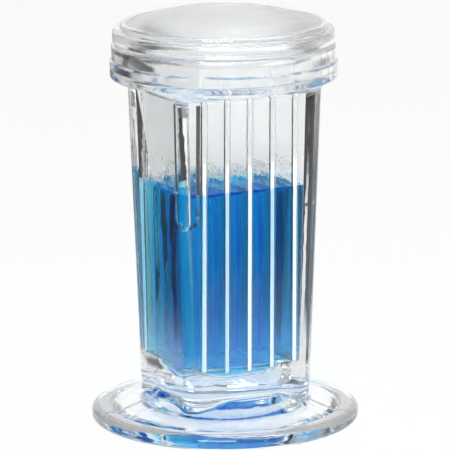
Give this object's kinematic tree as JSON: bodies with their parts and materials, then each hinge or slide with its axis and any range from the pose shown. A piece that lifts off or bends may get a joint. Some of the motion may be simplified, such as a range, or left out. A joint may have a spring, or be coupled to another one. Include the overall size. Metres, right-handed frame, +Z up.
{
  "type": "slide staining jar",
  "caption": "Pressed glass jar on a round foot with a domed lid, holding microscope slides upright in grooves in a blue stain.",
  "frame": {"origin": "centre of the foot on the surface it stands on, on the axis of foot and mouth", "axes": "+Z up through the lid, X along the row of slides, Y along the width of each slide"},
  "size_m": [0.0656, 0.0656, 0.102],
  "materials": {
    "jar_glass": "gloss",
    "lid_glass": "gloss",
    "slide_glass": "gloss with a frosted end",
    "stain_liquid": "gloss"
  },
  "bodies": {
    "root": {"jar": "jar_glass", "lid": "lid_glass", "slide_1": "slide_glass", "slide_2": "slide_glass", "slide_3": "slide_glass", "slide_4": "slide_glass", "slide_5": "slide_glass", "stain": "stain_liquid"}
  },
  "joints": []
}
